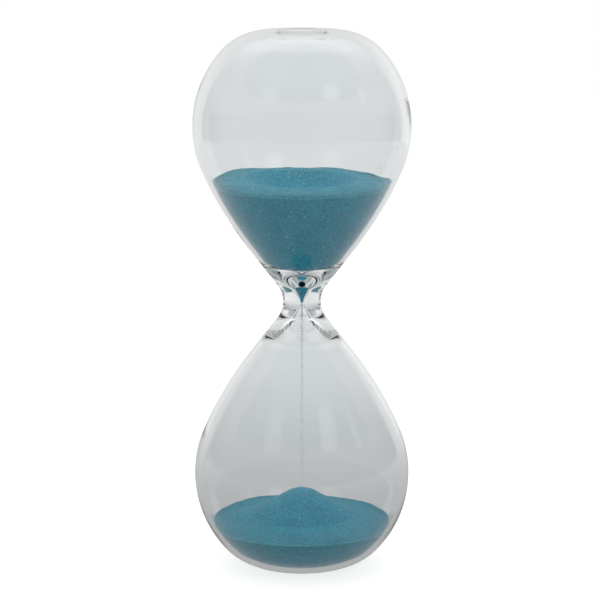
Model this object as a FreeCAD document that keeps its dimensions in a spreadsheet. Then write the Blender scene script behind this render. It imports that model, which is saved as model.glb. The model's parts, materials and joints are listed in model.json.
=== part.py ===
import FreeCAD, Part
import os
from math import asin, atan2, cos, pi, radians, sin, sqrt
import Sketcher

# Frameless hourglass, 200 mm tall and 80 mm across: two blown glass bulbs fused at a thick neck,
# with half the sand above the throat and half below it. Every piece is turned about the Z axis.
# Origin: centre of the lower flat end, +Z up. The waist is the narrowest section, halfway up.

SIZES = {
    # outer skin of one half of the glass; the other half is its mirror image
    "overall_height": 200.0,
    "belly_radius": 40.0,
    "end_flat_radius": 12.6,
    "shoulder_arc": 23.0,
    "belly_arc": 41.4,
    "flank_arc": 140.0,
    "cone_angle": 37.8,
    "neck_arc": 10.2,
    "neck_radius": 7.0,
    # thickness of the blown walls
    "end_wall": 1.9,
    "belly_wall": 1.6,
    "cone_wall": 1.6,
    # inside of the thick neck: a shallow floor, then a slender funnel down to the bore
    "floor_rise_angle": 34.0,
    "floor_corner_arc": 14.0,
    "mouth_arc": 4.0,
    "mouth_from_waist": 4.8,
    "funnel_angle": 22.0,
    "throat_arc": 8.0,
    "bore_radius": 0.6,
    # where the bulbs were fused to the neck, and the glass seal over the filling hole
    "fuse_from_waist": 16.0,
    "seal_radius": 6.6,
    "seal_pip": 1.4,
    "seal_dimple": 0.5,
    # sand: its clearance from the glass, the slope it settles at, and the two heaps
    "sand_gap": 0.2,
    "repose_angle": 31.5,
    "crater_edge_height": 146.0,
    "crater_radius": 21.0,
    "upper_level_at_belly": 144.1,
    "sinking_radius": 19.0,
    "sinking_depth": 3.0,
    "mound_foot_height": 18.4,
    "mound_foot_radius": 19.6,
    "mound_tip_arc": 9.0,
    "mound_buried_radius": 28.6,
    "bed_level_at_belly": 15.6,
    "moving_gap": 0.3,
    "stream_radius": 0.4,
}

# Expressions that several pieces share.
WAIST = "Sizes.overall_height / 2"
CRATER_TIP = "Sizes.crater_edge_height - Sizes.crater_radius * tan(Sizes.repose_angle)"
MOUND_APEX = "Sizes.mound_foot_height + Sizes.mound_foot_radius * tan(Sizes.repose_angle)"
MOUND_BASE = f"{MOUND_APEX} - Sizes.mound_buried_radius * tan(Sizes.repose_angle)"
MOUND_TIP = f"{MOUND_APEX} - Sizes.mound_tip_arc * (1 / cos(Sizes.repose_angle) - 1)"

# How far each stretch of an outline lies inside the outer skin of the glass.
OUTSIDE = {"end": "0", "belly": "0", "cone": "0"}
CAVITY = {"end": "Sizes.end_wall", "belly": "Sizes.belly_wall", "cone": "Sizes.cone_wall"}
SAND_SPACE = {stretch: wall + " + Sizes.sand_gap" for stretch, wall in CAVITY.items()}

doc = FreeCAD.newDocument("Hourglass")
sheet = doc.addObject("Spreadsheet::Sheet", "Sizes")
for row, (alias, value) in enumerate(SIZES.items(), start=1):
    sheet.set(f"A{row}", alias)
    sheet.set(f"B{row}", str(value))
    sheet.setAlias(f"B{row}", alias)
doc.recompute()


def size(alias):
    return float(sheet.get(alias))


def evaluate(expression):
    """The present value of a sheet expression, for a sketch's first, undimensioned lines."""
    return float(sheet.evalExpression(expression))


def vector(point):
    return FreeCAD.Vector(point[0], point[1], 0)


def polar(centre, radius, angle):
    return (centre[0] + radius * cos(angle), centre[1] + radius * sin(angle))


def shifted(line, left):
    """A line given as (point, direction), moved sideways to its left."""
    point, along = line
    return ((point[0] - left * along[1], point[1] + left * along[0]), along)


def crossing(first, second):
    """Where two lines, each given as (point, direction), cross."""
    (ax, ay), (ux, uy) = first
    (bx, by), (vx, vy) = second
    step = ((bx - ax) * vy - (by - ay) * vx) / (ux * vy - uy * vx)
    return (ax + step * ux, ay + step * uy)


class Outline:
    """A closed half outline on a body's XZ plane, drawn piece by piece and then dimensioned."""

    def __init__(self, label):
        self.body = doc.addObject("PartDesign::Body", label)
        self.sketch = self.body.newObject("Sketcher::SketchObject", label + "_outline")
        self.sketch.AttachmentSupport = [(self.origin_plane("XZ_Plane"), "")]
        self.sketch.MapMode = "FlatFace"
        self.ends = []

    def origin_plane(self, role):
        planes = self.body.Origin.OriginFeatures
        return next(plane for plane in planes if plane.Role == role)

    def add_piece(self, geometry, first, last, smooth):
        """Add a line or arc whose vertex first joins the piece before it."""
        index = self.sketch.addGeometry(geometry, False)
        if self.ends:
            kind = "Tangent" if smooth else "Coincident"
            self.constrain(kind, index - 1, self.ends[-1][1], index, first)
        self.ends.append((first, last))
        return index

    def line(self, start, end, smooth=False):
        return self.add_piece(Part.LineSegment(vector(start), vector(end)), 1, 2, smooth)

    def arc(self, centre, radius, start, end, smooth=True):
        """An arc about centre from the angle start to the angle end, either way round."""
        circle = Part.Circle(vector(centre), FreeCAD.Vector(0, 0, 1), radius)
        geometry = Part.ArcOfCircle(circle, min(start, end), max(start, end))
        first, last = (1, 2) if end > start else (2, 1)
        return self.add_piece(geometry, first, last, smooth)

    def constrain(self, *terms):
        return self.sketch.addConstraint(Sketcher.Constraint(*terms))

    def close(self):
        """Join the last piece, which runs along the axis, to the first one."""
        last = len(self.ends) - 1
        self.constrain("Coincident", last, self.ends[last][1], 0, self.ends[0][0])
        self.constrain("Vertical", last)

    def bind(self, name, expression, *terms):
        """Add a dimension that follows a sheet expression."""
        number = self.constrain(*terms)
        self.sketch.renameConstraint(number, name)
        self.sketch.setExpression("Constraints." + name, expression)

    def bind_radius(self, name, expression, index):
        self.bind(name, expression, "Radius", index, evaluate(expression))

    def bind_x(self, name, expression, index, vertex):
        self.bind(name, expression, "DistanceX", -1, 1, index, vertex, evaluate(expression))

    def bind_y(self, name, expression, index, vertex):
        self.bind(name, expression, "DistanceY", -1, 1, index, vertex, evaluate(expression))

    def bind_angle(self, name, expression, index):
        self.bind(name, expression, "Angle", index, radians(evaluate(expression)))

    def revolve(self, angle=360):
        """Turn the outline about the Z axis."""
        turned = self.body.newObject("PartDesign::Revolution", self.body.Label + "_turned")
        turned.Profile = self.sketch
        turned.ReferenceAxis = (self.sketch, ["V_Axis"])
        turned.Angle = angle
        return self.body

    def revolve_both_halves(self):
        """Turn the outline a quarter circle, mirror it through all three planes, and lift the waist.

        The bulging faces stay split into quarters, because each alone folds through the axis.
        """
        self.revolve(90)
        label = self.body.Label + "_mirrored"
        mirrored = self.body.newObject("PartDesign::MultiTransform", label)
        mirrored.Originals = [self.body.Group[1]]
        mirrored.Refine = False
        mirrors = []
        for role in ("XZ_Plane", "YZ_Plane", "XY_Plane"):
            mirror = self.body.newObject("PartDesign::Mirrored", f"{label}_{role}")
            mirror.MirrorPlane = (self.origin_plane(role), [""])
            mirrors.append(mirror)
        mirrored.Transformations = mirrors
        self.body.Tip = mirrored
        self.body.setExpression("Placement.Base.z", WAIST)
        return self.body


def neck_centre():
    return (size("neck_radius") + size("neck_arc"), 0.0)


def cone_wall_foot(insets):
    """Where the straight cone wall touches the circle about the neck arc's centre."""
    cone = radians(size("cone_angle"))
    return polar(neck_centre(), size("neck_arc") + evaluate(insets["cone"]), pi - cone)


def draw_bulb(outline, cone_start, insets):
    """Draw and bind a bulb, up from the waist: cone wall, flank, belly, shoulder, flat end, axis."""
    cone = radians(size("cone_angle"))
    end_height = evaluate(f"{WAIST} - ({insets['end']})")
    shoulder = size("shoulder_arc") - evaluate(insets["end"])
    belly = size("belly_arc") - evaluate(insets["belly"])
    flank = size("flank_arc") - evaluate(insets["cone"])
    shoulder_centre = (size("end_flat_radius"), end_height - shoulder)
    belly_x = size("belly_radius") - size("belly_arc")
    drop = sqrt((belly - shoulder) ** 2 - (shoulder_centre[0] - belly_x) ** 2)
    belly_centre = (belly_x, shoulder_centre[1] - drop)

    # The flank's centre lies one flank radius inside the cone wall, and flank - belly from the
    # belly's centre. Of the two such points, the one lower down the cone is the hourglass's.
    level = polar(cone_wall_foot(insets), flank, pi - cone)
    up_cone = (sin(cone), cos(cone))
    offset = (level[0] - belly_centre[0], level[1] - belly_centre[1])
    mean = offset[0] * up_cone[0] + offset[1] * up_cone[1]
    reach = offset[0] ** 2 + offset[1] ** 2 - (flank - belly) ** 2
    step = -mean - sqrt(mean ** 2 - reach)
    flank_centre = (level[0] + step * up_cone[0], level[1] + step * up_cone[1])

    belly_start = atan2(belly_centre[1] - flank_centre[1], belly_centre[0] - flank_centre[0])
    shoulder_start = atan2(
        shoulder_centre[1] - belly_centre[1], shoulder_centre[0] - belly_centre[0])
    cone_line = outline.line(cone_start, polar(flank_centre, flank, -cone), smooth=True)
    flank_arc = outline.arc(flank_centre, flank, -cone, belly_start)
    belly_arc = outline.arc(belly_centre, belly, belly_start, shoulder_start)
    shoulder_arc = outline.arc(shoulder_centre, shoulder, shoulder_start, pi / 2)
    end_line = outline.line((shoulder_centre[0], end_height), (0, end_height), smooth=True)
    outline.line((0, end_height), (0, 0))
    outline.close()

    outline.constrain("Coincident", 0, 1, -1, 1)
    outline.constrain("Horizontal", 0)
    outline.constrain("Horizontal", end_line)
    outline.bind_radius("flank_arc", f"Sizes.flank_arc - ({insets['cone']})", flank_arc)
    outline.bind_radius("belly_arc", f"Sizes.belly_arc - ({insets['belly']})", belly_arc)
    outline.bind_radius("shoulder_arc", f"Sizes.shoulder_arc - ({insets['end']})", shoulder_arc)
    outline.bind_x("end_flat", "Sizes.end_flat_radius", shoulder_arc, 3)
    outline.bind_y("end_height", f"{WAIST} - ({insets['end']})", end_line, 1)
    outline.bind_angle("cone_angle", "90 - Sizes.cone_angle", cone_line)
    outline.bind("belly_centre", "Sizes.belly_arc - Sizes.belly_radius",
                 "DistanceX", belly_arc, 3, -1, 1, -belly_x)
    return cone_line


def glass_outside():
    """Solid of the outer skin: both bulbs and the neck."""
    outline = Outline("glass_outside")
    neck_arc_end = pi - radians(size("cone_angle"))
    outline.line((0, 0), (size("neck_radius"), 0))
    neck_arc = outline.arc(neck_centre(), size("neck_arc"), pi, neck_arc_end, smooth=False)
    draw_bulb(outline, cone_wall_foot(OUTSIDE), OUTSIDE)
    outline.bind_x("neck_radius", "Sizes.neck_radius", 0, 2)
    outline.bind_radius("neck_arc", "Sizes.neck_arc", neck_arc)
    outline.constrain("PointOnObject", neck_arc, 3, -1)
    return outline.revolve_both_halves()


def inner_space(label, insets, gap):
    """Solid of the space inside the glass, drawn in by gap all over."""
    outline = Outline(label)
    funnel = radians(size("funnel_angle"))
    floor = radians(size("floor_rise_angle"))
    cone = radians(size("cone_angle"))
    bore = evaluate(f"Sizes.bore_radius - ({gap})")
    throat = evaluate(f"Sizes.throat_arc + ({gap})")
    mouth = evaluate(f"Sizes.mouth_arc + ({gap})")
    corner = evaluate(f"Sizes.floor_corner_arc - ({gap})")

    # The funnel line touches the throat arc and the mouth arc, which both lie outside it.
    throat_centre = (bore + throat, 0.0)
    throat_end = polar(throat_centre, throat, pi - funnel)
    mouth_height = size("mouth_from_waist")
    funnel_length = (mouth_height + mouth * sin(funnel) - throat_end[1]) / cos(funnel)
    mouth_start = polar(throat_end, funnel_length, pi / 2 - funnel)
    mouth_centre = polar(mouth_start, mouth, -funnel)
    mouth_end = polar(mouth_centre, mouth, pi / 2 + floor)
    # The corner arc rolls between the floor and the cone wall.
    floor_line = (mouth_end, (cos(floor), sin(floor)))
    wall_line = (cone_wall_foot(insets), (sin(cone), cos(cone)))
    corner_centre = crossing(shifted(floor_line, corner), shifted(wall_line, corner))
    corner_start = polar(corner_centre, corner, floor - pi / 2)
    corner_end = polar(corner_centre, corner, -cone)

    outline.line((0, 0), (bore, 0))
    throat_arc = outline.arc(throat_centre, throat, pi, pi - funnel, smooth=False)
    funnel_wall = outline.line(throat_end, mouth_start, smooth=True)
    mouth_arc = outline.arc(mouth_centre, mouth, pi - funnel, pi / 2 + floor)
    floor_wall = outline.line(mouth_end, corner_start, smooth=True)
    corner_arc = outline.arc(corner_centre, corner, floor - pi / 2, -cone)
    cone_wall = draw_bulb(outline, corner_end, insets)

    guide_radius = f"Sizes.neck_arc + ({insets['cone']})"
    circle = Part.Circle(
        vector(neck_centre()), FreeCAD.Vector(0, 0, 1), evaluate(guide_radius))
    guide = outline.sketch.addGeometry(circle, True)
    outline.bind_radius("guide_radius", guide_radius, guide)
    outline.bind_x("guide_centre", "Sizes.neck_radius + Sizes.neck_arc", guide, 3)
    outline.constrain("PointOnObject", guide, 3, -1)
    outline.constrain("Tangent", cone_wall, guide)
    outline.bind_x("bore_radius", f"Sizes.bore_radius - ({gap})", 0, 2)
    outline.bind_radius("throat_arc", f"Sizes.throat_arc + ({gap})", throat_arc)
    outline.bind_radius("mouth_arc", f"Sizes.mouth_arc + ({gap})", mouth_arc)
    outline.bind_radius("floor_corner", f"Sizes.floor_corner_arc - ({gap})", corner_arc)
    outline.bind_angle("funnel_angle", "90 - Sizes.funnel_angle", funnel_wall)
    outline.bind_angle("floor_angle", "Sizes.floor_rise_angle", floor_wall)
    outline.bind_y("mouth_height", "Sizes.mouth_from_waist", mouth_arc, 3)
    outline.constrain("PointOnObject", throat_arc, 3, -1)
    return outline.revolve_both_halves()


def turned_polygon(label, corners):
    """A turned solid with straight edges; each corner is a pair of expressions, radius and height.

    The first and the last corner lie on the axis.
    """
    outline = Outline(label)
    points = [(evaluate(radius), evaluate(height)) for radius, height in corners]
    for start, end in zip(points, points[1:] + points[:1]):
        outline.line(start, end)
    outline.close()
    outline.constrain("PointOnObject", 0, 1, -2)
    for index, (radius, height) in enumerate(corners):
        if 0 < index < len(corners) - 1:
            outline.bind_x(f"radius_{index}", radius, index, 1)
        outline.bind_y(f"height_{index}", height, index, 1)
    return outline.revolve()


def cylinder(label, radius, bottom, top):
    piece = doc.addObject("Part::Cylinder", label)
    piece.setExpression("Radius", radius)
    piece.setExpression("Height", f"({top}) - ({bottom})")
    piece.setExpression("Placement.Base.z", bottom)
    return piece


def boolean(kind, label, base, tool):
    result = doc.addObject(f"Part::{kind}", label)
    result.Base = base
    result.Tool = tool
    return result


def glass_wall():
    outside = glass_outside()
    cavity = inner_space("cavity", CAVITY, "0")
    return boolean("Cut", "glass_wall", outside, cavity)


def glass_slice(label, wall, bottom, top):
    slab = cylinder(label + "_slab", "Sizes.belly_radius * 1.1", bottom, top)
    return boolean("Common", label, wall, slab)


def fill_port_seal():
    """Glass plug in the filling hole: a rounded pip inside, a shallow dimple outside."""
    outline = Outline("fill_port_seal")
    radius = size("seal_radius")
    pip = size("seal_pip")
    dimple = size("seal_dimple")
    top = size("overall_height")
    shelf = top - size("end_wall")
    pip_arc = (radius ** 2 + pip ** 2) / (2 * pip)
    dimple_arc = (radius ** 2 + dimple ** 2) / (2 * dimple)
    pip_edge = asin(radius / pip_arc) - pi / 2
    dimple_edge = asin(radius / dimple_arc) - pi / 2
    outline.arc((0, shelf - pip + pip_arc), pip_arc, -pi / 2, pip_edge)
    side = outline.line((radius, shelf), (radius, top))
    bowl = outline.arc(
        (0, top - dimple + dimple_arc), dimple_arc, dimple_edge, -pi / 2, smooth=False)
    outline.line((0, top - dimple), (0, shelf - pip))
    outline.close()
    outline.constrain("Vertical", side)
    for index, vertex in ((0, 1), (0, 3), (bowl, 3)):
        outline.constrain("PointOnObject", index, vertex, -2)
    shelf_height = "Sizes.overall_height - Sizes.end_wall"
    outline.bind_x("seal_radius", "Sizes.seal_radius", side, 1)
    outline.bind_y("pip_height", shelf_height + " - Sizes.seal_pip", 0, 1)
    outline.bind_y("shelf_height", shelf_height, side, 1)
    outline.bind_y("rim_height", "Sizes.overall_height", side, 2)
    outline.bind_y("dimple_height", "Sizes.overall_height - Sizes.seal_dimple", bowl, 1)
    return outline.revolve()


def sinking_sand():
    """Conical core under the crater, which goes down as the sand drains."""
    edge = "Sizes.sinking_radius"
    rise = "Sizes.sinking_radius * tan(Sizes.repose_angle)"
    return turned_polygon("sinking_sand", [
        ("0", f"{CRATER_TIP} - Sizes.sinking_depth"),
        (edge, f"{CRATER_TIP} - Sizes.sinking_depth + {rise}"),
        (edge, f"{CRATER_TIP} + {rise}"),
        ("0", CRATER_TIP),
    ])


def upper_sand(sand_space):
    """Sand above the waist, with a level ring at the glass and a seat for the sinking core."""
    seat = f"{CRATER_TIP} - Sizes.sinking_depth - Sizes.moving_gap"
    seat_edge = "(Sizes.sinking_radius + Sizes.moving_gap)"
    rise = f"{seat_edge} * tan(Sizes.repose_angle)"
    air = turned_polygon("air_above_upper_sand", [
        ("0", seat),
        (seat_edge, f"{seat} + {rise}"),
        (seat_edge, f"{CRATER_TIP} + {rise}"),
        ("Sizes.crater_radius", "Sizes.crater_edge_height"),
        ("Sizes.belly_radius", "Sizes.upper_level_at_belly"),
        ("Sizes.belly_radius", "Sizes.overall_height"),
        ("0", "Sizes.overall_height"),
    ])
    above = cylinder("above_waist", "Sizes.belly_radius", WAIST, "Sizes.overall_height")
    filled = boolean("Common", "upper_fill", sand_space, above)
    return boolean("Cut", "upper_sand", filled, air)


def sand_mound():
    """Heap under the stream, with a rounded tip; its lower part is buried in the bed."""
    outline = Outline("sand_mound")
    repose = radians(size("repose_angle"))
    tip_arc = size("mound_tip_arc")
    base = evaluate(MOUND_BASE)
    tip = evaluate(MOUND_TIP)
    tip_centre = (0, tip - tip_arc)
    buried = size("mound_buried_radius")
    bottom = outline.line((0, base), (buried, base))
    slope = outline.line((buried, base), polar(tip_centre, tip_arc, pi / 2 - repose))
    cap = outline.arc(tip_centre, tip_arc, pi / 2 - repose, pi / 2)
    outline.line((0, tip), (0, base))
    outline.close()
    outline.constrain("PointOnObject", bottom, 1, -2)
    outline.constrain("Horizontal", bottom)
    outline.constrain("PointOnObject", cap, 3, -2)
    outline.bind_y("base_height", MOUND_BASE, bottom, 1)
    outline.bind_x("buried_radius", "Sizes.mound_buried_radius", bottom, 2)
    outline.bind_angle("slope", "180 - Sizes.repose_angle", slope)
    outline.bind_radius("tip_arc", "Sizes.mound_tip_arc", cap)
    return outline.revolve()


def lower_sand(sand_space):
    """Bed of sand in the lower bulb, with a seat for the buried part of the mound."""
    side_gap = "Sizes.moving_gap / sin(Sizes.repose_angle)"
    air = turned_polygon("air_above_lower_sand", [
        ("0", f"{MOUND_BASE} - Sizes.moving_gap"),
        (f"Sizes.mound_buried_radius + 2 * {side_gap}", f"{MOUND_BASE} - Sizes.moving_gap"),
        (f"Sizes.mound_foot_radius + {side_gap}", "Sizes.mound_foot_height"),
        ("Sizes.belly_radius", "Sizes.bed_level_at_belly"),
        ("Sizes.belly_radius", "Sizes.overall_height"),
        ("0", "Sizes.overall_height"),
    ])
    return boolean("Cut", "lower_sand", sand_space, air)


def build():
    wall = glass_wall()
    sand_space = inner_space("sand_space", SAND_SPACE, "Sizes.sand_gap")
    lower_fuse = f"{WAIST} - Sizes.fuse_from_waist"
    upper_fuse = f"{WAIST} + Sizes.fuse_from_waist"
    closed_bulb = glass_slice("closed_bulb", wall, upper_fuse, "Sizes.overall_height")
    filling_hole = cylinder("filling_hole", "Sizes.seal_radius", WAIST, "Sizes.overall_height")
    return [
        glass_slice("lower_bulb", wall, "0", lower_fuse),
        glass_slice("throat", wall, lower_fuse, upper_fuse),
        boolean("Cut", "upper_bulb", closed_bulb, filling_hole),
        fill_port_seal(),
        upper_sand(sand_space),
        sinking_sand(),
        cylinder("sand_stream", "Sizes.stream_radius",
                 f"{MOUND_TIP} + Sizes.moving_gap", f"{WAIST} - Sizes.sand_gap"),
        sand_mound(),
        lower_sand(sand_space),
    ]


pieces = build()
doc.recompute()
for item in doc.Objects:
    if "Invalid" in item.State or "Error" in item.State:
        raise RuntimeError(f"{item.Label} did not build: {item.State}")
for piece in pieces:
    if piece.Shape.isNull() or not piece.Shape.isValid():
        raise RuntimeError(f"{piece.Label} has no valid shape")
    if len(piece.Shape.Solids) != 1:
        raise RuntimeError(f"{piece.Label} is not one solid")

os.makedirs("parts", exist_ok=True)
for piece in pieces:
    piece.Shape.exportStep(f"parts/{piece.Label}.step")
    print(piece.Label, round(piece.Shape.Volume / 1000, 2), "cm3", piece.Shape.BoundBox)
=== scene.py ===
import json
from math import atan2, cos, exp, hypot, pi, radians, sin, sqrt, tan

import bpy
import numpy as np
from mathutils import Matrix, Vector, noise


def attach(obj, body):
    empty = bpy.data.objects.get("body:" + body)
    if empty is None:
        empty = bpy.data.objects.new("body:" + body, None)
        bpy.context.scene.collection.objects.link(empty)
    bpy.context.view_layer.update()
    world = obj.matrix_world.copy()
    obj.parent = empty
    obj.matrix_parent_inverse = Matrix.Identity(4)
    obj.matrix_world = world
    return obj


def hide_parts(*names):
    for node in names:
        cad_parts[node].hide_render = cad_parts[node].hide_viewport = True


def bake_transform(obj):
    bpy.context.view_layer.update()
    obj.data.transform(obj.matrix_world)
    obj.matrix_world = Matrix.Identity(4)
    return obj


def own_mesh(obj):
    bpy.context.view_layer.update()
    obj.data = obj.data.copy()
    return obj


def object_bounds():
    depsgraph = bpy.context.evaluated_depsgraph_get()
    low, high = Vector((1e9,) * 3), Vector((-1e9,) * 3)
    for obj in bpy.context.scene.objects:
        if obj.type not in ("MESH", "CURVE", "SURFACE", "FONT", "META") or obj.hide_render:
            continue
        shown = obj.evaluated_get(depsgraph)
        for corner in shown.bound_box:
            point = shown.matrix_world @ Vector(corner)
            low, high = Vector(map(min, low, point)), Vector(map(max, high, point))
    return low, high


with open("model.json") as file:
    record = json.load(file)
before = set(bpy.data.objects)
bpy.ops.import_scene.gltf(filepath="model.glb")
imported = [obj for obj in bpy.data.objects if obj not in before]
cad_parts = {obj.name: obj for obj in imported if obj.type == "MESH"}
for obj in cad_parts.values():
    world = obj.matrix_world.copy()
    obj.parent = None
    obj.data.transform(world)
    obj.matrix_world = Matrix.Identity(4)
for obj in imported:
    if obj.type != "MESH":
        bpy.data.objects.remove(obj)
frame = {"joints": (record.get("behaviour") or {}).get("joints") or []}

CAD_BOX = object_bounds()
MM = 0.001

# Sizes are in mm, except in the room and for the camera, where they are in metres.
# A half outline is a list of (radius, height above the waist) that both bulbs share.
# Every other height is above the lower end.


# ---------------------------------------------------------------- sizes of the glass

HEIGHT = CAD_BOX[1][2] / MM
HALF = HEIGHT / 2
BELLY_RADIUS = 40.0
END_FLAT = 12.6
SHOULDER_ARC = 23.0
BELLY_ARC = 41.4
FLANK_ARC = 140.0
CONE = radians(37.8)
NECK_ARC = 10.2
NECK_RADIUS = 7.0
END_WALL = 1.9
BELLY_WALL = 1.6
CONE_WALL = 1.6
# inside of the thick neck, from the bore outwards
BORE_RADIUS = 0.6
THROAT_ARC = 8.0
FUNNEL = radians(22.0)
MOUTH_ARC = 4.0
MOUTH_FROM_WAIST = 4.8
FLOOR_RISE = radians(34.0)
FLOOR_CORNER = 14.0
# seal over the filling hole: a weld ring and a dimple outside, a fainter weld and a pip inside
SEAL_RADIUS = 6.6
SEAL_FLAT = 1.3 * SEAL_RADIUS
WELD_WIDTH = 0.9
WELD_DEPTH = 0.06
DIMPLE_RADIUS = 0.86 * SEAL_RADIUS
SEAL_DIMPLE = 0.3
PIP_RADIUS = 1.15 * SEAL_RADIUS
SEAL_PIP = 1.4
INNER_WELD_WIDTH = 0.5
INNER_WELD_DEPTH = 0.12
# unevenness of the blown walls, and how finely the skins are divided
WAVE_HEIGHT = 0.03
GLASS_SEGMENTS = 160
END_RINGS = (0.3, 0.6, 0.9, 1.2)
BULB_STEP = 0.7
SHOULDER_STEP = 0.6
FLOOR_STEP = 0.5
FUNNEL_STEP = 0.4
NECK_STEP = 0.25
BORE_STEP = 0.2


# ---------------------------------------------------------------- sizes of the sand

SAND_GAP = 0.1
SAND_SEGMENTS = 180
SURFACE_STEP = 0.4
HIDDEN_STEP = 0.8
REPOSE = radians(31.5)
SHARP_EDGE = radians(50)
SINK_DEPTH = frame["joints"][0]["range_m"][1] / MM

# upper sand: a ring that leans a little, round a crater with a rounded lip and a blunt tip
UPPER_RIM = 144.8
UPPER_TILT = 0.032
# (place, width, depth) of each hollow; a negative depth is a swell
UPPER_DENTS = (((30, 14), 9, 1.1), ((-24, 19), 8, -0.6), ((13, 28), 8, -0.35))
LEAN_DEPTH = 10
CRATER_EDGE = 146.0
CRATER_RADIUS = 21.0
CRATER_LIP = 0.35
CRATER_TIP = 1.2
# about what rounding the lip takes off there, given back to the whole surface
LIP_ALLOWANCE = 0.2
HOLLOW_INSET = 0.6
# from this height down, 2 mm above the tip of the plain cone, the sand sinks with the core in full
CRATER_BOTTOM = CRATER_EDGE - CRATER_RADIUS * tan(REPOSE) + 2.0
# the crater's skin lies in a seat in the lining, which leaves it room to sink
SKIN_DEPTH = 1.0
SEAT_INSET = 1.6
SEAT_CLEARANCE = 0.5
SEAM = 0.06
LINING_TIP = 0.2
RIM_BEVEL = 0.2

# heap: a cone with a rounded tip, and a skirt buried in the bed
MOUND_FOOT = 18.4
MOUND_FOOT_RADIUS = 19.6
MOUND_TIP_ARC = 12.0
MOUND_BURIED_RADIUS = 28.0
MOUND_SMOOTH_RADIUS = 26
MOUND_SKIRT_DEPTH = 0.2

# bed: nearly level from the glass inwards, then sweeping up to the heap
BED_RIM = 16.4
BED_RISE = MOUND_FOOT - 0.15 - BED_RIM
BED_SEAT = 17.7
BED_SWEEP = 1.15
BED_SWEEP_LENGTH = 2.2
BED_SMOOTH_WIDTH = 3
BED_HOLLOW_CLEARANCE = 0.6

# unevenness of each surface: height of its swells, height of its lumps, seed
UPPER_ROUGHNESS = (0.45, 0.22, 1.7)
MOUND_ROUGHNESS = (0.5, 0.25, 4.1)
BED_ROUGHNESS = (0.35, 0.2, 9.3)
SWELL_LENGTH = 11
LUMP_LENGTH = 2.6


# ---------------------------------------------------------------- outlines

def polar(centre, radius, angle):
    return (centre[0] + radius * cos(angle), centre[1] + radius * sin(angle))


def arc(centre, radius, start, end, step):
    """Points along an arc, about step apart, without its last one."""
    count = max(4, int(abs(end - start) * radius / step))
    angles = np.linspace(start, end, count, endpoint=False)
    return [polar(centre, radius, angle) for angle in angles]


def line(start, end, step):
    """Points along a straight run, about step apart, without its last one."""
    count = max(1, int(hypot(end[0] - start[0], end[1] - start[1]) / step))
    return [(start[0] + (end[0] - start[0]) * i / count,
             start[1] + (end[1] - start[1]) * i / count) for i in range(count)]


def neck_centre():
    return (NECK_RADIUS + NECK_ARC, 0.0)


def wall_foot(inset):
    return polar(neck_centre(), NECK_ARC + inset, pi - CONE)


def bulb(start, end_wall, belly_wall, cone_wall):
    """Half outline of a bulb, from the point start on its cone up to the seal's flat."""
    top = HALF - end_wall
    shoulder = SHOULDER_ARC - end_wall
    belly = BELLY_ARC - belly_wall
    flank = FLANK_ARC - cone_wall
    shoulder_centre = (END_FLAT, top - shoulder)
    belly_x = BELLY_RADIUS - BELLY_ARC
    drop = sqrt((belly - shoulder) ** 2 - (END_FLAT - belly_x) ** 2)
    belly_centre = (belly_x, shoulder_centre[1] - drop)
    # the flank's arc is tangent to the cone and to the belly's arc: its centre lies on a line
    # parallel to the cone, as far from the belly's centre as the two radii differ
    level = polar(wall_foot(cone_wall), flank, pi - CONE)
    offset = (level[0] - belly_centre[0], level[1] - belly_centre[1])
    mean = offset[0] * sin(CONE) + offset[1] * cos(CONE)
    reach = offset[0] ** 2 + offset[1] ** 2 - (flank - belly) ** 2
    along = -mean - sqrt(mean ** 2 - reach)
    flank_centre = (level[0] + along * sin(CONE), level[1] + along * cos(CONE))
    belly_start = atan2(belly_centre[1] - flank_centre[1], belly_centre[0] - flank_centre[0])
    shoulder_start = atan2(shoulder_centre[1] - belly_centre[1],
                           shoulder_centre[0] - belly_centre[0])
    cone_end = polar(flank_centre, flank, -CONE)
    return (line(start, cone_end, BULB_STEP)
            + arc(flank_centre, flank, -CONE, belly_start, BULB_STEP)
            + arc(belly_centre, belly, belly_start, shoulder_start, BULB_STEP)
            + arc(shoulder_centre, shoulder, shoulder_start, pi / 2, SHOULDER_STEP)
            + line((END_FLAT, top), (SEAL_FLAT, top), SHOULDER_STEP))


def outer_half():
    """Outer skin from the waist up to the rim of the seal."""
    return arc(neck_centre(), NECK_ARC, pi, pi - CONE, NECK_STEP) + bulb(wall_foot(0), 0, 0, 0)


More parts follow.
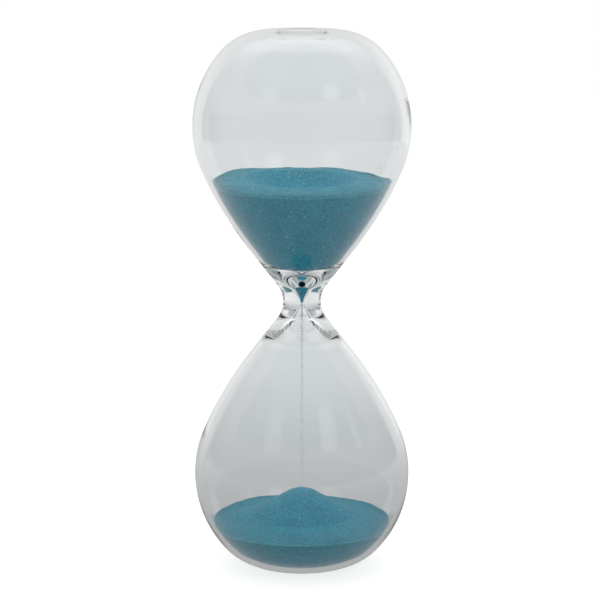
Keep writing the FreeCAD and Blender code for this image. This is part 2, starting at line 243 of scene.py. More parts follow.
def inner_half(gap=0.0):
    """Inner skin from the waist up, drawn in by gap."""
    bore = BORE_RADIUS - gap
    throat = THROAT_ARC + gap
    mouth = MOUTH_ARC + gap
    corner = FLOOR_CORNER - gap
    throat_centre = (bore + throat, 0.0)
    throat_end = polar(throat_centre, throat, pi - FUNNEL)
    funnel_length = (MOUTH_FROM_WAIST + mouth * sin(FUNNEL) - throat_end[1]) / cos(FUNNEL)
    mouth_start = polar(throat_end, funnel_length, pi / 2 - FUNNEL)
    mouth_centre = polar(mouth_start, mouth, -FUNNEL)
    mouth_end = polar(mouth_centre, mouth, pi / 2 + FLOOR_RISE)
    # the corner arc rolls between the floor and the cone wall
    foot = wall_foot(CONE_WALL + gap)
    floor_point = (mouth_end[0] - corner * sin(FLOOR_RISE), mouth_end[1] + corner * cos(FLOOR_RISE))
    wall_point = (foot[0] - corner * cos(CONE), foot[1] + corner * sin(CONE))
    across = (wall_point[0] - floor_point[0], wall_point[1] - floor_point[1])
    turn = cos(FLOOR_RISE) * cos(CONE) - sin(FLOOR_RISE) * sin(CONE)
    run = (across[0] * cos(CONE) - across[1] * sin(CONE)) / turn
    corner_centre = polar(floor_point, run, FLOOR_RISE)
    corner_start = polar(corner_centre, corner, FLOOR_RISE - pi / 2)
    corner_end = polar(corner_centre, corner, -CONE)
    return (arc(throat_centre, throat, pi, pi - FUNNEL, BORE_STEP)
            + line(throat_end, mouth_start, FUNNEL_STEP)
            + arc(mouth_centre, mouth, pi - FUNNEL, pi / 2 + FLOOR_RISE, BORE_STEP)
            + line(mouth_end, corner_start, FLOOR_STEP)
            + arc(corner_centre, corner, FLOOR_RISE - pi / 2, -CONE, NECK_STEP)
            + bulb(corner_end, END_WALL + gap, BELLY_WALL + gap, CONE_WALL + gap))


def radius_at(outline, level):
    """Radius of a half outline at a height above the waist."""
    heights = [point[1] for point in outline]
    return float(np.interp(level, heights, [point[0] for point in outline]))


# ---------------------------------------------------------------- meshes

def turned(profile, segments, relief=None, inward=False, wall=None):
    """Closed turned mesh from (radius, height, share of relief) points that run from axis to axis.

    Heights are above the lower end. The relief is a function of x and y that lifts the surface.
    A wall is the half outline of the upper glass that a lifted point may not cross.
    """
    angles = 2 * pi * np.arange(segments) / segments
    points = []
    for radius, height, share in profile[1:-1]:
        for angle in angles:
            x, y = radius * cos(angle), radius * sin(angle)
            lift = share * relief(x, y) if relief and share else 0
            held = min(1, radius_at(wall, height + lift - HALF) / radius) if wall else 1
            points.append((x * held, y * held, height + lift))
    first, last = len(points), len(points) + 1
    for radius, height, share in (profile[0], profile[-1]):
        lift = share * relief(0, 0) if relief and share else 0
        points.append((0, 0, height + lift))
    faces = []
    rings = len(profile) - 2
    for j in range(segments):
        k = (j + 1) % segments
        faces.append((first, k, j))
        for i in range(rings - 1):
            low, high = i * segments, (i + 1) * segments
            faces.append((low + j, low + k, high + k, high + j))
        top = (rings - 1) * segments
        faces.append((top + j, top + k, last))
    if inward:
        faces = [face[::-1] for face in faces]
    return np.array(points), faces


def mesh_object(name, shells, sharp=None):
    """One smooth-shaded object from several (points in mm, faces) shells."""
    points, faces, start = [], [], 0
    for shell_points, shell_faces in shells:
        points.append(np.asarray(shell_points) * MM)
        faces += [tuple(int(index) + start for index in face) for face in shell_faces]
        start += len(shell_points)
    mesh = bpy.data.meshes.new(name)
    mesh.from_pydata(np.vstack(points).tolist(), [], faces)
    mesh.polygons.foreach_set("use_smooth", [True] * len(mesh.polygons))
    if sharp is not None:
        mesh.set_sharp_from_angle(angle=sharp)
    mesh.update()
    made = bpy.data.objects.new(name, mesh)
    bpy.context.scene.collection.objects.link(made)
    return made


def raised(outline):
    """A half outline above the waist as profile points above the lower end."""
    return [(radius, HALF + height, 0) for radius, height in outline]


def lowered(outline):
    """The same half outline below the waist, from the lower end up."""
    return [(radius, HALF - height, 0) for radius, height in reversed(outline)]


# ---------------------------------------------------------------- glass

def wavy(points, phase):
    """The slight unevenness of blown glass: slow swells that fade out at the neck and the ends."""
    x, y, z = points.T
    radius = np.hypot(x, y)
    angle = np.arctan2(y, x)
    swell = (np.sin(3 * angle + z / 9 + phase) + 0.6 * np.sin(5 * angle - z / 14 + 2 * phase)
             + 0.7 * np.sin(2 * angle + z / 5.5 - phase))
    scale = 1 + WAVE_HEIGHT * swell * (radius / BELLY_RADIUS) ** 2 / BELLY_RADIUS
    return np.column_stack((x * scale, y * scale, z))


def seal_outside():
    """From the flat end over the weld ring of the seal and into its dimple, to the axis."""
    ring = [(SEAL_RADIUS + WELD_WIDTH * cos(t), HEIGHT - WELD_DEPTH * sin(t), 0)
            for t in np.linspace(0, pi, 9)]
    bowl = [(DIMPLE_RADIUS * (1 - t), HEIGHT - SEAL_DIMPLE * sin(t * pi / 2) ** 2, 0)
            for t in np.linspace(0.06, 1, 9)]
    return ring + bowl


def seal_inside():
    """From the inner flat end over the rounded pip of the seal, to the axis."""
    shelf = HEIGHT - END_WALL
    weld_middle = PIP_RADIUS + INNER_WELD_WIDTH
    weld = [(weld_middle + INNER_WELD_WIDTH * cos(t), shelf - INNER_WELD_DEPTH * sin(t), 0)
            for t in np.linspace(0, pi, 7)]
    pip = [(PIP_RADIUS * cos(t), shelf - SEAL_PIP * sin(t) ** 2, 0)
           for t in np.linspace(0.1, pi / 2, 14)]
    return weld + pip


def lower_end(level):
    """Flat lower end at a height, from the axis out."""
    return [(0, level, 0)] + [(SEAL_RADIUS * share, level, 0) for share in END_RINGS]


def blown_glass():
    """Both bulbs, the neck and the seal, fused: an outer skin round one hollow."""
    half = outer_half()
    outside = lower_end(0) + lowered(half[1:]) + raised(half) + seal_outside()
    half = inner_half()
    inside = lower_end(END_WALL) + lowered(half[1:]) + raised(half) + seal_inside()
    skin, skin_faces = turned(outside, GLASS_SEGMENTS)
    hollow, hollow_faces = turned(inside, GLASS_SEGMENTS, inward=True)
    return mesh_object("glass_bulbs", [(wavy(skin, 0.4), skin_faces),
                                       (wavy(hollow, 2.3), hollow_faces)])


# ---------------------------------------------------------------- sand

def soft_least(a, b, softness):
    """The lower of two levels, with the edge where they cross rounded off."""
    return -softness * np.log(np.exp(-a / softness) + np.exp(-b / softness))


def rough(x, y, coarse, fine, seed):
    """Unevenness of a poured surface, in mm: slow swells and small lumps."""
    slow = noise.noise(Vector((x / SWELL_LENGTH, y / SWELL_LENGTH, seed)))
    small = noise.noise(Vector((x / LUMP_LENGTH, y / LUMP_LENGTH, seed + 5)))
    return coarse * slow + fine * small


def dent(x, y, centre, width, depth):
    """A soft round hollow, or a swell where the depth is negative."""
    return -depth * np.exp(-((x - centre[0]) ** 2 + (y - centre[1]) ** 2) / width ** 2)


def ring_steps(start, end, step):
    """Values from start to end, about step apart, with both ends."""
    count = max(2, int(abs(end - start) / step))
    return np.linspace(start, end, count + 1)


def mark_rim(made, rings, rim_row):
    """Give the band where the sand's surface meets the glass the object's second material, a lighter
    copy of the sand that is a painted highlight.
    """
    for index, face in enumerate(made.data.polygons):
        row = index % (rings + 1) - 1
        face.material_index = int(rim_row - 1 <= row <= rim_row)


def upper_level(radius):
    """Height of the sand in the upper bulb: a nearly level ring round a crater."""
    rim = radius_at(inner_half(SAND_GAP), UPPER_RIM - HALF)
    ring = CRATER_EDGE + (UPPER_RIM - CRATER_EDGE) * (radius - CRATER_RADIUS) / (rim - CRATER_RADIUS)
    blunt = sqrt(radius ** 2 + CRATER_TIP ** 2)
    crater = CRATER_EDGE - (CRATER_RADIUS - blunt) * tan(REPOSE)
    return float(soft_least(ring, crater, CRATER_LIP)) + LIP_ALLOWANCE


def upper_relief(x, y):
    """Lean, unevenness and dents of the upper sand's surface."""
    lift = UPPER_TILT * y + rough(x, y, *UPPER_ROUGHNESS)
    for shape in UPPER_DENTS:
        lift += dent(x, y, *shape)
    return lift


def sink_share(level):
    """How far a height follows the sinking core: none at the rim, all near the crater's tip."""
    share = np.clip((UPPER_RIM - level) / (UPPER_RIM - CRATER_BOTTOM), 0, 1)
    return share * share * (3 - 2 * share)


def seat_level(radius):
    """Top of the lining under the crater's skin: clear of the skin when that is at its lowest."""
    under = upper_level(radius) - SKIN_DEPTH
    return under - SINK_DEPTH * sink_share(under - 1) - SEAT_CLEARANCE


def upper_lining(sand, lit):
    """Sand against the upper glass; its top is hollowed to take the crater's skin at its lowest."""
    wall = inner_half(SAND_GAP)
    rim = radius_at(wall, UPPER_RIM - HALF)
    seat = rim - SEAT_INSET
    side = [point for point in wall if LINING_TIP < point[1] < UPPER_RIM - HALF - LEAN_DEPTH]
    # the lean fades in over the top of the side, where turned() holds each point to the wall
    below = [(0, HALF - LINING_TIP, 0)] + raised(side)
    below += [(BELLY_RADIUS, UPPER_RIM - down, 1 - down / LEAN_DEPTH)
              for down in ring_steps(LEAN_DEPTH - 0.5, RIM_BEVEL, 0.6)]
    above = [(radius, upper_level(radius), 1)
             for radius in ring_steps(rim - 0.05, seat, SURFACE_STEP)]
    above += [(radius, seat_level(radius), 1) for radius in ring_steps(seat, 0, HIDDEN_STEP)]
    profile = below + above
    points, faces = turned(profile, SAND_SEGMENTS, upper_relief, wall=wall)
    made = mesh_object("upper_sand_lining", [(points, faces)], sharp=SHARP_EDGE)
    give(made, sand)
    # the second material, lighter, is a painted highlight on the band where the sand meets the glass
    made.data.materials.append(lit)
    mark_rim(made, len(profile) - 2, len(below) - 2)
    return made


def crater_skin(ring, hollow):
    """Top layer of the upper sand, which dips in the middle as the sand drains."""
    edge = radius_at(inner_half(SAND_GAP), UPPER_RIM - HALF) - SEAT_INSET - SEAM
    under = [(radius, upper_level(radius) - SKIN_DEPTH, 1)
             for radius in ring_steps(0, edge, HIDDEN_STEP)]
    over = [(radius, upper_level(radius), 1) for radius in ring_steps(edge, 0, SURFACE_STEP)]
    points, faces = turned(under + over, SAND_SEGMENTS, upper_relief)
    made = mesh_object("crater_surface", [(points, faces)], sharp=SHARP_EDGE)
    # the ring takes a lighter copy of the sand as painted light, the hollow a darker one as painted
    # shade
    give(made, ring)
    made.data.materials.append(hollow)
    for face in made.data.polygons:
        centre = face.center / MM
        face.material_index = int(hypot(centre.x, centre.y) < CRATER_RADIUS - HOLLOW_INSET)
    return made


def mound_level(radius):
    """Height of the mound's surface: a cone with a rounded tip."""
    apex = MOUND_FOOT + MOUND_FOOT_RADIUS * tan(REPOSE)
    turn = MOUND_TIP_ARC * sin(REPOSE)
    if radius > turn:
        return apex - radius * tan(REPOSE)
    centre = apex - MOUND_TIP_ARC / cos(REPOSE)
    return centre + sqrt(MOUND_TIP_ARC ** 2 - radius ** 2)


def mound_relief(x, y):
    """Unevenness of the heap, which fades out towards its buried skirt."""
    fade = max(0.0, 1 - hypot(x, y) / MOUND_SMOOTH_RADIUS)
    return fade * rough(x, y, *MOUND_ROUGHNESS)


def mound():
    """Heap under the stream; its skirt lies buried in the bed."""
    buried = MOUND_BURIED_RADIUS
    over = [(radius, mound_level(radius), 1) for radius in ring_steps(buried, 0, SURFACE_STEP)]
    base = mound_level(buried) - MOUND_SKIRT_DEPTH
    under = [(0, base, 0), (buried * 0.5, base, 0), (buried - 0.1, base, 0)]
    points, faces = turned(under + over, SAND_SEGMENTS, mound_relief)
    return mesh_object("sand_mound_heap", [(points, faces)], sharp=SHARP_EDGE)


def bed_level(radius):
    """Height of the bed: it rises gently from the glass, then sweeps up into the mound."""
    rim = radius_at(inner_half(SAND_GAP), HALF - BED_RIM)
    gentle = BED_RIM + BED_RISE * (rim - radius) / (rim - BED_SEAT)
    return gentle + BED_SWEEP * exp((BED_SEAT - radius) / BED_SWEEP_LENGTH)


def bed_relief(x, y):
    """Unevenness of the bed, which fades out beside the heap."""
    fade = min(1.0, max(0.0, (hypot(x, y) - MOUND_FOOT_RADIUS) / BED_SMOOTH_WIDTH))
    return fade * rough(x, y, *BED_ROUGHNESS)


def bed(sand, lit):
    """Sand on the floor of the lower bulb, hollowed under the mound."""
    wall = inner_half(SAND_GAP)
    rim = radius_at(wall, HALF - BED_RIM)
    side = [point for point in wall if point[1] > HALF - BED_RIM + 0.3]
    hollow = mound_level(MOUND_BURIED_RADIUS - 0.1) - BED_HOLLOW_CLEARANCE
    profile = [(0, END_WALL + SAND_GAP, 0)] + lowered(side)
    profile += [(radius, bed_level(radius), 1)
                for radius in ring_steps(rim - 0.02, BED_SEAT, SURFACE_STEP)]
    profile += [(BED_SEAT, hollow, 0), (BED_SEAT * 0.5, hollow, 0), (0, hollow, 0)]
    points, faces = turned(profile, SAND_SEGMENTS, bed_relief)
    made = mesh_object("sand_bed", [(points, faces)], sharp=SHARP_EDGE)
    give(made, sand)
    # the second material, lighter, is a painted highlight on the band where the sand meets the glass
    made.data.materials.append(lit)
    mark_rim(made, len(profile) - 2, len(side))
    return made


# ---------------------------------------------------------------- single grains

# a grain is eight-sided: its six corners at unit length, and its faces
GRAIN_CORNERS = np.array([(1, 0, 0), (-1, 0, 0), (0, 1, 0), (0, -1, 0), (0, 0, 1), (0, 0, -1)])
GRAIN_FACES = ((4, 0, 2), (4, 2, 1), (4, 1, 3), (4, 3, 0), (5, 2, 0), (5, 1, 2), (5, 3, 1), (5, 0, 3))

STREAM_TOP = HALF - 0.3
STREAM_GRAINS = 950
STREAM_GRAIN_SIZE = 0.09
STREAM_START_DROP = 2.9
STREAM_START_SPREAD = 0.36
STREAM_WIDENING = 0.5

# places of grains that cling to the inside of the glass:
# (azimuth from the front in degrees, height in mm, how many, spread in mm)
CLINGING = (
    (48, 152, 16, 4.5),
    (60, 158, 14, 4.0),
    (34, 157, 6, 2.5),
    (-40, 149, 6, 3.0),
    (10, 151, 5, 5.0),
    (-70, 166, 5, 6.0),
    (25, 176, 4, 6.0),
    (-20, 24, 6, 5.0),
    (55, 22, 7, 4.0),
    (80, 30, 5, 5.0),
    (-62, 34, 5, 6.0),
)
CLING_GAP = 0.12
CLING_SIZE = 0.11
SEAL_STRAYS = 46
SEAL_STRAY_RADII = (11, 20)

# grains that stand proud of the ring round the crater and of the bed, and a short line of
# brighter ones high on the far side of the crater
RING_GRAINS = 2600
RING_GRAIN_SIZE = 0.11
RING_OUTER_RADIUS = 31.0
BED_GRAINS = 800
BED_GRAIN_SIZE = 0.14
BED_OUTER_RADIUS = 32.4
FLECKS = 22
FLECK_SIZE = 0.24
FLECK_LINE = (-2.2, 4.6)
FLECK_RADII = (18.4, 20.5)


def grains(centres, size, random):
    """One chipped eight-sided grain at each centre."""
    shells = []
    for centre in centres:
        corners = GRAIN_CORNERS * random.uniform(0.7, 1.25, (6, 1)) * size
        corners = corners + random.normal(0, 0.12 * size, (6, 3))
        shells.append((corners + centre, GRAIN_FACES))
    return shells


def stream():
    """Falling grains: they spread out along the fall as they gain speed."""
    random = np.random.default_rng(7)
    fall = STREAM_TOP - (mound_level(0) + 0.2)
    times = np.sort(random.uniform(0, 1, STREAM_GRAINS))
    last = sqrt(1 + fall / STREAM_START_DROP)
    drops = STREAM_START_DROP * ((1 + times * (last - 1)) ** 2 - 1)
    spread = STREAM_START_SPREAD + STREAM_WIDENING * drops / fall
    angles = random.uniform(0, 2 * pi, STREAM_GRAINS)
    offsets = spread * np.sqrt(-2 * np.log(random.uniform(0.1, 1, STREAM_GRAINS))) * 0.7
    centres = np.column_stack((offsets * np.cos(angles), offsets * np.sin(angles), STREAM_TOP - drops))
    return mesh_object("falling_sand", grains(centres, STREAM_GRAIN_SIZE, random))


def end_curve(wall):
    """Radii and heights of the inside of the bulb's end, with the radii rising."""
    belly = max(range(len(wall)), key=lambda index: wall[index][0])
    end = wall[belly:][::-1]
    return [point[0] for point in end], [point[1] for point in end]


def clinging_grains():
    """Stray grains that static holds to the inside of both bulbs and round the seal."""
    random = np.random.default_rng(11)
    wall = inner_half(CLING_GAP)
    centres = []
    for azimuth, height, count, spread in CLINGING:
        for _ in range(count):
            level = height + random.normal(0, spread * 0.5)
            radius = radius_at(wall, abs(level - HALF))
            angle = radians(azimuth - 90) + random.normal(0, spread * 0.5) / radius
            centres.append((radius * cos(angle), radius * sin(angle), level))
    for _ in range(SEAL_STRAYS):
        angle = random.uniform(0, 2 * pi)
        radius = random.uniform(*SEAL_STRAY_RADII)
        level = HALF + float(np.interp(radius, *end_curve(wall)))
        centres.append((radius * cos(angle), radius * sin(angle), level))
    return mesh_object("clinging_grains", grains(np.array(centres), CLING_SIZE, random))


def ring_grains(random):
    """Grains on the ring round the crater and just inside its lip, and the line of flecks."""
    centres = []
    for _ in range(RING_GRAINS):
        radius = RING_OUTER_RADIUS * sqrt(random.uniform(0.3, 1))
        angle = random.uniform(0, 2 * pi)
        x, y = radius * cos(angle), radius * sin(angle)
        centres.append((x, y, upper_level(radius) + upper_relief(x, y) + 0.03))
    shells = grains(np.array(centres), RING_GRAIN_SIZE, random)
    centres = []
    for x in np.linspace(*FLECK_LINE, FLECKS):
        x += random.normal(0, 0.25)
        y = sqrt(random.uniform(*FLECK_RADII) ** 2 - x * x)
        centres.append((x, y, upper_level(hypot(x, y)) + upper_relief(x, y) + 0.12))
    shells += grains(np.array(centres), FLECK_SIZE, random)
    return mesh_object("upper_loose_grains", shells)


def bed_grains(random):
    """Grains on the bed round the mound's foot."""
    centres = []
    for _ in range(BED_GRAINS):
        radius = random.uniform(MOUND_FOOT_RADIUS + 0.5, BED_OUTER_RADIUS)
        angle = random.uniform(0, 2 * pi)
        x, y = radius * cos(angle), radius * sin(angle)
        centres.append((x, y, bed_level(radius) + bed_relief(x, y) + 0.03))
    return mesh_object("bed_loose_grains", grains(np.array(centres), BED_GRAIN_SIZE, random))


# ---------------------------------------------------------------- materials

# dyed sand and its copies, each (dark, light, painted glint): plain; paler grains, partly painted
# glint on the ring; a painted highlight where the rim meets the glass; a lighter crater ring as
# painted light; a darker heap as painted shade; the crater's hollow, darker than the ring, as painted
# shade
SAND_COLOURS = {
    "teal_sand": ((0.015, 0.29, 0.43), (0.07, 0.57, 0.76), (0.45, 0.85, 0.95)),
    "pale_teal_grains": ((0.16, 0.6, 0.72), (0.65, 0.93, 0.97), (0.95, 1.0, 1.0)),
    "lit_teal_sand": ((0.03, 0.42, 0.55), (0.16, 0.74, 0.88), (0.7, 1.0, 1.0)),
    "painted_lit_ring_teal_sand": ((0.02, 0.33, 0.48), (0.09, 0.64, 0.84), (0.6, 0.95, 1.0)),
    "painted_shade_heap_teal_sand": ((0.012, 0.26, 0.4), (0.06, 0.51, 0.7), (0.45, 0.85, 0.95)),
    "shaded_teal_sand": ((0.016, 0.285, 0.425), (0.075, 0.57, 0.77), (0.5, 0.9, 1.0)),
}
GRAINS_PER_METRE = 2700
GLASS_IOR = 1.47


def ramp_node(tree, source, stops):
    """Colour ramp fed by source. A stop is (place, colour), with one number for a grey."""
    made = tree.nodes.new("ShaderNodeValToRGB")
    while len(made.color_ramp.elements) < len(stops):
        made.color_ramp.elements.new(0.5)
    for element, (place, colour) in zip(made.color_ramp.elements, stops):
        element.position = place
        element.color = (*colour, 1) if isinstance(colour, tuple) else (colour, colour, colour, 1)
    tree.links.new(source, made.inputs["Fac"])
    return made.outputs["Color"]


class Material:
    """A node material with a Principled shader and short ways to add the usual nodes."""

    def __init__(self, name):
        self.made = bpy.data.materials.new(name)
        self.made.use_nodes = True
        self.nodes = self.made.node_tree.nodes
        self.links = self.made.node_tree.links
        self.shader = self.nodes["Principled BSDF"]
        self.place = self.node("ShaderNodeTexCoord").outputs["Object"]

    def node(self, kind, **settings):
        made = self.nodes.new(kind)
        for name, value in settings.items():
            setattr(made, name, value)
        return made

    def noise(self, scale, detail=2.0):
        made = self.node("ShaderNodeTexNoise")
        made.inputs["Scale"].default_value = scale
        made.inputs["Detail"].default_value = detail
        self.links.new(self.place, made.inputs["Vector"])
        return made.outputs["Fac"]

    def grains(self, scale, output):
        made = self.node("ShaderNodeTexVoronoi")
        made.inputs["Scale"].default_value = scale
        self.links.new(self.place, made.inputs["Vector"])
        return made.outputs[output]

    def ramp(self, source, *stops):
        return ramp_node(self.made.node_tree, source, stops)

    def blend(self, kind, factor, first, second):
        made = self.node("ShaderNodeMix", data_type="RGBA", blend_type=kind)
        if isinstance(factor, float):
            made.inputs["Factor"].default_value = factor
        else:
            self.links.new(factor, made.inputs["Factor"])
        self.links.new(first, made.inputs["A"])
        self.links.new(second, made.inputs["B"])
        return made.outputs["Result"]

    def bump(self, source, strength, distance, below=None):
        made = self.node("ShaderNodeBump")
        made.inputs["Strength"].default_value = strength
        made.inputs["Distance"].default_value = distance
        self.links.new(source, made.inputs["Height"])
        if below is not None:
            self.links.new(below, made.inputs["Normal"])
        return made.outputs["Normal"]

    def put(self, socket, source):
        if isinstance(source, bpy.types.NodeSocket):
            self.links.new(source, self.shader.inputs[socket])
        else:
            self.shader.inputs[socket].default_value = source


def glass_material():
    """Clear blown glass: the faintest blue-green, a few smears, and a slow ripple."""
    glass = Material("clear_blown_glass")
    tint = glass.ramp(glass.noise(30), (0.35, (0.974, 0.989, 0.992)), (0.65, (0.984, 0.995, 0.998)))
    glass.put("Base Color", tint)
    glass.put("Roughness", glass.ramp(glass.noise(55, 4), (0.5, 0.0), (0.8, 0.035)))
    glass.put("Normal", glass.bump(glass.noise(90, 1), 0.04, 0.0004))
    glass.put("Transmission Weight", 1.0)
    glass.put("IOR", GLASS_IOR)
    return glass.made


def sand_material(name, dark, light, glint):
    """Dyed sand: each grain has its own shade, and a few grains are painted paler as glints."""
    sand = Material(name)
    cells = sand.grains(GRAINS_PER_METRE, "Color")
    shade = sand.ramp(cells, (0.15, dark), (0.85, light))
    drift = sand.ramp(sand.noise(160, 3), (0.3, (0.86, 0.9, 0.92)), (0.7, (1.08, 1.05, 1.04)))
    body = sand.blend("MULTIPLY", 1.0, shade, drift)
    # painted glint: a few grain cells take the glint colour, a painted highlight in place of real
    # sparkle
    bright = sand.ramp(sand.grains(2100, "Color"), (0.9, 0.0), (0.96, 1.0))
    sparkle = sand.ramp(sand.noise(900, 1), (0.4, glint), (0.6, light))
    sand.put("Base Color", sand.blend("MIX", bright, body, sparkle))
    sand.put("Roughness", sand.ramp(cells, (0.2, 0.42), (0.8, 0.75)))
    lumps = sand.bump(sand.noise(420, 3), 0.35, 0.0004)
    sand.put("Normal", sand.bump(sand.grains(GRAINS_PER_METRE, "Distance"), 0.55, 0.00016, lumps))
    sand.put("Specular IOR Level", 0.2)
    return sand.made


def give(made, material):
    """Put a material on an object; hands the object back."""
    made.data.materials.append(material)
    return made


# ---------------------------------------------------------------- room

# brightness near level by azimuth, from straight behind the object (0) to straight in front (1)
BEHIND = ((0.0, 0.73), (0.12, 0.79), (0.262, 0.87), (0.285, 0.33), (0.42, 0.34), (0.5, 0.42),
          (1.0, 0.42))
# the same well above and below level, and the share of the level pattern by height
AWAY_FROM_LEVEL = ((0.0, 0.71), (0.262, 0.8), (0.32, 0.62), (0.45, 0.46), (1.0, 0.42))
WING_HEIGHT = ((0.0, 1.0), (0.2, 1.0), (0.55, 0.0), (1.0, 0.0))
# brightness by height, from level (0) to straight overhead (1), halved
OVERHEAD = ((0.0, 0.5), (0.52, 0.52), (0.8, 1.0), (1.0, 1.0))
# softboxes: azimuth from behind and elevation in degrees, half width, half height, brightness
WINDOWS = (
    (-140, 36, 0.17, 0.14, 0.5),
    (142, 38, 0.17, 0.13, 0.8),
    (104, 30, 0.07, 0.22, 0.5),
    (32, 0, 0.4, 0.5, 0.06),
)
WORLD_TINT = (0.99, 1.0, 1.0, 1)

FLOOR_RADIUS = 0.9
FLOOR_SIDES = 96
FLOOR_RINGS = 12
FLOOR_DROP = 0.00005
# brightness of the floor as the glass shows it, by distance from the object in metres: a glow, darker
# near the object as painted shadow
FLOOR_SHADES = ((0.04, 0.42), (0.17, 0.55), (0.27, 0.63), (0.4, 0.72), (0.7, 0.78))
FLOOR_RED = 0.985
# what the camera sees of the floor: mostly its own light, and a little that can be shadowed
FLOOR_GLOW = 0.8
FLOOR_MATT = 0.45


def math_node(tree, kind, first, second=None):
    """Result of one math node; first and second are sockets or numbers."""
    made = tree.nodes.new("ShaderNodeMath")
    made.operation = kind
    for socket, value in zip(made.inputs, (first, second)):
        if isinstance(value, bpy.types.NodeSocket):
            tree.links.new(value, socket)
        elif value is not None:
            socket.default_value = value
    return made.outputs[0]


def camera_switch(tree, others, seen):
    """Shader that is seen to the camera's own rays and others to every other ray."""
    choose = tree.nodes.new("ShaderNodeMixShader")
    tree.links.new(tree.nodes.new("ShaderNodeLightPath").outputs["Is Camera Ray"], choose.inputs[0])
    tree.links.new(others, choose.inputs[1])
    tree.links.new(seen, choose.inputs[2])
    return choose.outputs[0]


def wall_light(tree, x, y, z):
    """Brightness of the room: a bright wall behind, darker wings beside it, light overhead."""
    turn = math_node(tree, "ARCTAN2", math_node(tree, "ABSOLUTE", x), y)
    azimuth = math_node(tree, "DIVIDE", turn, pi)
    wings = tree.nodes.new("ShaderNodeMix")
    level = ramp_node(tree, math_node(tree, "ABSOLUTE", z), WING_HEIGHT)
    tree.links.new(level, wings.inputs["Factor"])
    tree.links.new(ramp_node(tree, azimuth, AWAY_FROM_LEVEL), wings.inputs["A"])
    tree.links.new(ramp_node(tree, azimuth, BEHIND), wings.inputs["B"])
    light = math_node(tree, "MULTIPLY", wings.outputs["Result"], ramp_node(tree, z, OVERHEAD))
    return math_node(tree, "MULTIPLY", light, 2.0)


def window_light(tree, parts, azimuth, elevation, wide, tall, strength):
    """Soft-edged panel: its light falls with the fourth power of the way from its middle."""
    middle = (sin(radians(azimuth)) * cos(radians(elevation)),
              cos(radians(azimuth)) * cos(radians(elevation)), sin(radians(elevation)))
    powers = []
    for part, centre, half in zip(parts, middle, (wide, wide, tall)):
        way = math_node(tree, "MULTIPLY", math_node(tree, "SUBTRACT", part, centre), 1 / half)
        powers.append(math_node(tree, "POWER", math_node(tree, "ABSOLUTE", way), 4.0))
    away = math_node(tree, "ADD", math_node(tree, "ADD", powers[0], powers[1]), powers[2])
    inside = math_node(tree, "MAXIMUM", math_node(tree, "SUBTRACT", 1.0, away), 0.0)
    return math_node(tree, "MULTIPLY", inside, strength)


def studio_world():
    """Soft studio light, which the camera itself sees as plain white."""
    world = bpy.data.worlds.new("studio")
    bpy.context.scene.world = world
    world.use_nodes = True
    tree = world.node_tree
    tree.nodes.clear()
    split = tree.nodes.new("ShaderNodeSeparateXYZ")
    tree.links.new(tree.nodes.new("ShaderNodeTexCoord").outputs["Generated"], split.inputs[0])
    parts = tuple(split.outputs)
    light = wall_light(tree, *parts)
    for window in WINDOWS:
        light = math_node(tree, "ADD", light, window_light(tree, parts, *window))
    studio = tree.nodes.new("ShaderNodeBackground")
    studio.inputs["Color"].default_value = WORLD_TINT
    tree.links.new(light, studio.inputs["Strength"])
    white = tree.nodes.new("ShaderNodeBackground")
    white.inputs["Color"].default_value = (1, 1, 1, 1)
    surface = camera_switch(tree, studio.outputs[0], white.outputs[0])
    tree.links.new(surface, tree.nodes.new("ShaderNodeOutputWorld").inputs["Surface"])
    world.cycles.sampling_method = "MANUAL"
    world.cycles.sample_map_resolution = 512


def floor_material():
    """White to the camera but for a faint shadow, and as seen through the glass a grey glow, darker
    near the object as painted shadow.
    """
    material = bpy.data.materials.new("pale_floor")
    material.use_nodes = True
    tree = material.node_tree
    tree.nodes.clear()
    distance = tree.nodes.new("ShaderNodeVectorMath")
    distance.operation = "LENGTH"
    tree.links.new(tree.nodes.new("ShaderNodeTexCoord").outputs["Object"], distance.inputs[0])
    stops = [(place, (level * FLOOR_RED, level, level)) for place, level in FLOOR_SHADES]
    glow = tree.nodes.new("ShaderNodeEmission")
    tree.links.new(ramp_node(tree, distance.outputs["Value"], stops), glow.inputs["Color"])
    lit = tree.nodes.new("ShaderNodeEmission")
    lit.inputs["Strength"].default_value = FLOOR_GLOW
    matt = tree.nodes.new("ShaderNodeBsdfDiffuse")
    matt.inputs["Color"].default_value = (FLOOR_MATT, FLOOR_MATT, FLOOR_MATT, 1)
    both = tree.nodes.new("ShaderNodeAddShader")
    tree.links.new(lit.outputs[0], both.inputs[0])
    tree.links.new(matt.outputs[0], both.inputs[1])
    surface = camera_switch(tree, glow.outputs[0], both.outputs[0])
    tree.links.new(surface, tree.nodes.new("ShaderNodeOutputMaterial").inputs["Surface"])
    return material


def floor():
    """Pale floor disc, finer towards its middle."""
    sides = FLOOR_SIDES
    angles = 2 * pi * np.arange(sides) / sides
    rings = [FLOOR_RADIUS * (i / FLOOR_RINGS) ** 1.5 for i in range(1, FLOOR_RINGS + 1)]
    points = [(0, 0, 0)] + [(r * cos(a), r * sin(a), 0) for r in rings for a in angles]
    faces = [(0, 1 + j, 1 + (j + 1) % sides) for j in range(sides)]
    for i in range(len(rings) - 1):
        low, high = 1 + i * sides, 1 + (i + 1) * sides
        for j in range(sides):
            k = (j + 1) % sides
            faces.append((low + j, high + j, high + k, low + k))
    mesh = bpy.data.meshes.new("floor")
    mesh.from_pydata(points, [], faces)
    mesh.polygons.foreach_set("use_smooth", [True] * len(mesh.polygons))
    mesh.materials.append(floor_material())
    made = bpy.data.objects.new("floor", mesh)
    bpy.context.scene.collection.objects.link(made)
    made.location = (0, 0, CAD_BOX[0][2] - FLOOR_DROP)


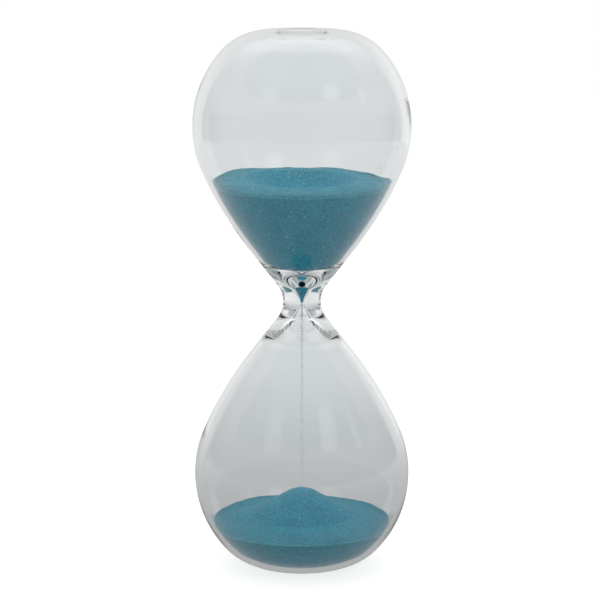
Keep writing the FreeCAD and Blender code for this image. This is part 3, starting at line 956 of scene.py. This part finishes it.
CAMERA_DISTANCE = 0.891
CAMERA_TILT = radians(10.53)
CAMERA_LENS = 144.4
CAMERA_ASIDE = -0.0007
CAMERA_AIM = HALF * MM + 0.0004


def camera():
    """Camera a little above the waist, looking down at it."""
    data = bpy.data.cameras.new("camera")
    data.lens = CAMERA_LENS
    data.sensor_width = 36
    data.clip_start = 0.01
    made = bpy.data.objects.new("camera", data)
    bpy.context.scene.collection.objects.link(made)
    made.location = (CAMERA_ASIDE, -CAMERA_DISTANCE * cos(CAMERA_TILT),
                     CAMERA_AIM + CAMERA_DISTANCE * sin(CAMERA_TILT))
    made.rotation_euler = (pi / 2 - CAMERA_TILT, 0, 0)
    bpy.context.scene.camera = made


# room for the many inner reflections in the thick neck
MAX_BOUNCES = 40
GLOSSY_BOUNCES = 20
TRANSMISSION_BOUNCES = 30


def light_paths():
    """Plain colours, and paths long enough for light inside thick glass."""
    scene = bpy.context.scene
    scene.view_settings.view_transform = "Standard"
    scene.cycles.max_bounces = MAX_BOUNCES
    scene.cycles.glossy_bounces = GLOSSY_BOUNCES
    scene.cycles.transmission_bounces = TRANSMISSION_BOUNCES
    scene.cycles.use_denoising = True


# ---------------------------------------------------------------- the whole

def add_glass():
    """The fused bulbs, neck and seal."""
    bulbs = give(blown_glass(), glass)
    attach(bulbs, "glass")
    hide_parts("lower_bulb", "throat", "upper_bulb", "fill_port_seal")


def add_upper_sand(random):
    """Lining on the glass, then the crater and loose grains, whose places are baked into their meshes.
    """
    lining = upper_lining(sands["teal_sand"], sands["lit_teal_sand"])
    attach(lining, "glass")
    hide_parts("upper_sand")

    # the crater's ring is lighter as painted light, its hollow darker as painted shade
    crater = crater_skin(sands["painted_lit_ring_teal_sand"], sands["shaded_teal_sand"])
    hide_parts("sinking_sand")
    # the ring's loose grains are paler, partly as painted glints
    upper_grains = give(ring_grains(random), sands["pale_teal_grains"])
    for piece in (crater, upper_grains):
        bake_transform(piece)


def add_lower_sand(random):
    """Heap, bed, and the loose grains on the bed."""
    lower_grains = bed_grains(random)
    # the heap takes a darker copy of the sand: painted shade
    heap = give(mound(), sands["painted_shade_heap_teal_sand"])
    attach(heap, "rising_heap")
    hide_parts("sand_mound")

    floor_sand = bed(sands["teal_sand"], sands["lit_teal_sand"])
    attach(floor_sand, "glass")
    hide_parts("lower_sand")
    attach(give(lower_grains, sands["teal_sand"]), "glass")


def add_stray_and_falling_sand():
    """Grains that cling to the glass, and the falling stream; both ride on the glass."""
    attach(give(clinging_grains(), sands["teal_sand"]), "glass")

    falling = give(stream(), sands["pale_teal_grains"])
    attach(falling, "glass")
    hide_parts("sand_stream")
    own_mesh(falling)


studio_world()
floor()
camera()
glass = glass_material()
sands = {name: sand_material(name, *colours) for name, colours in SAND_COLOURS.items()}
loose_grain_random = np.random.default_rng(5)
add_glass()
add_upper_sand(loose_grain_random)
add_lower_sand(loose_grain_random)
add_stray_and_falling_sand()
light_paths()
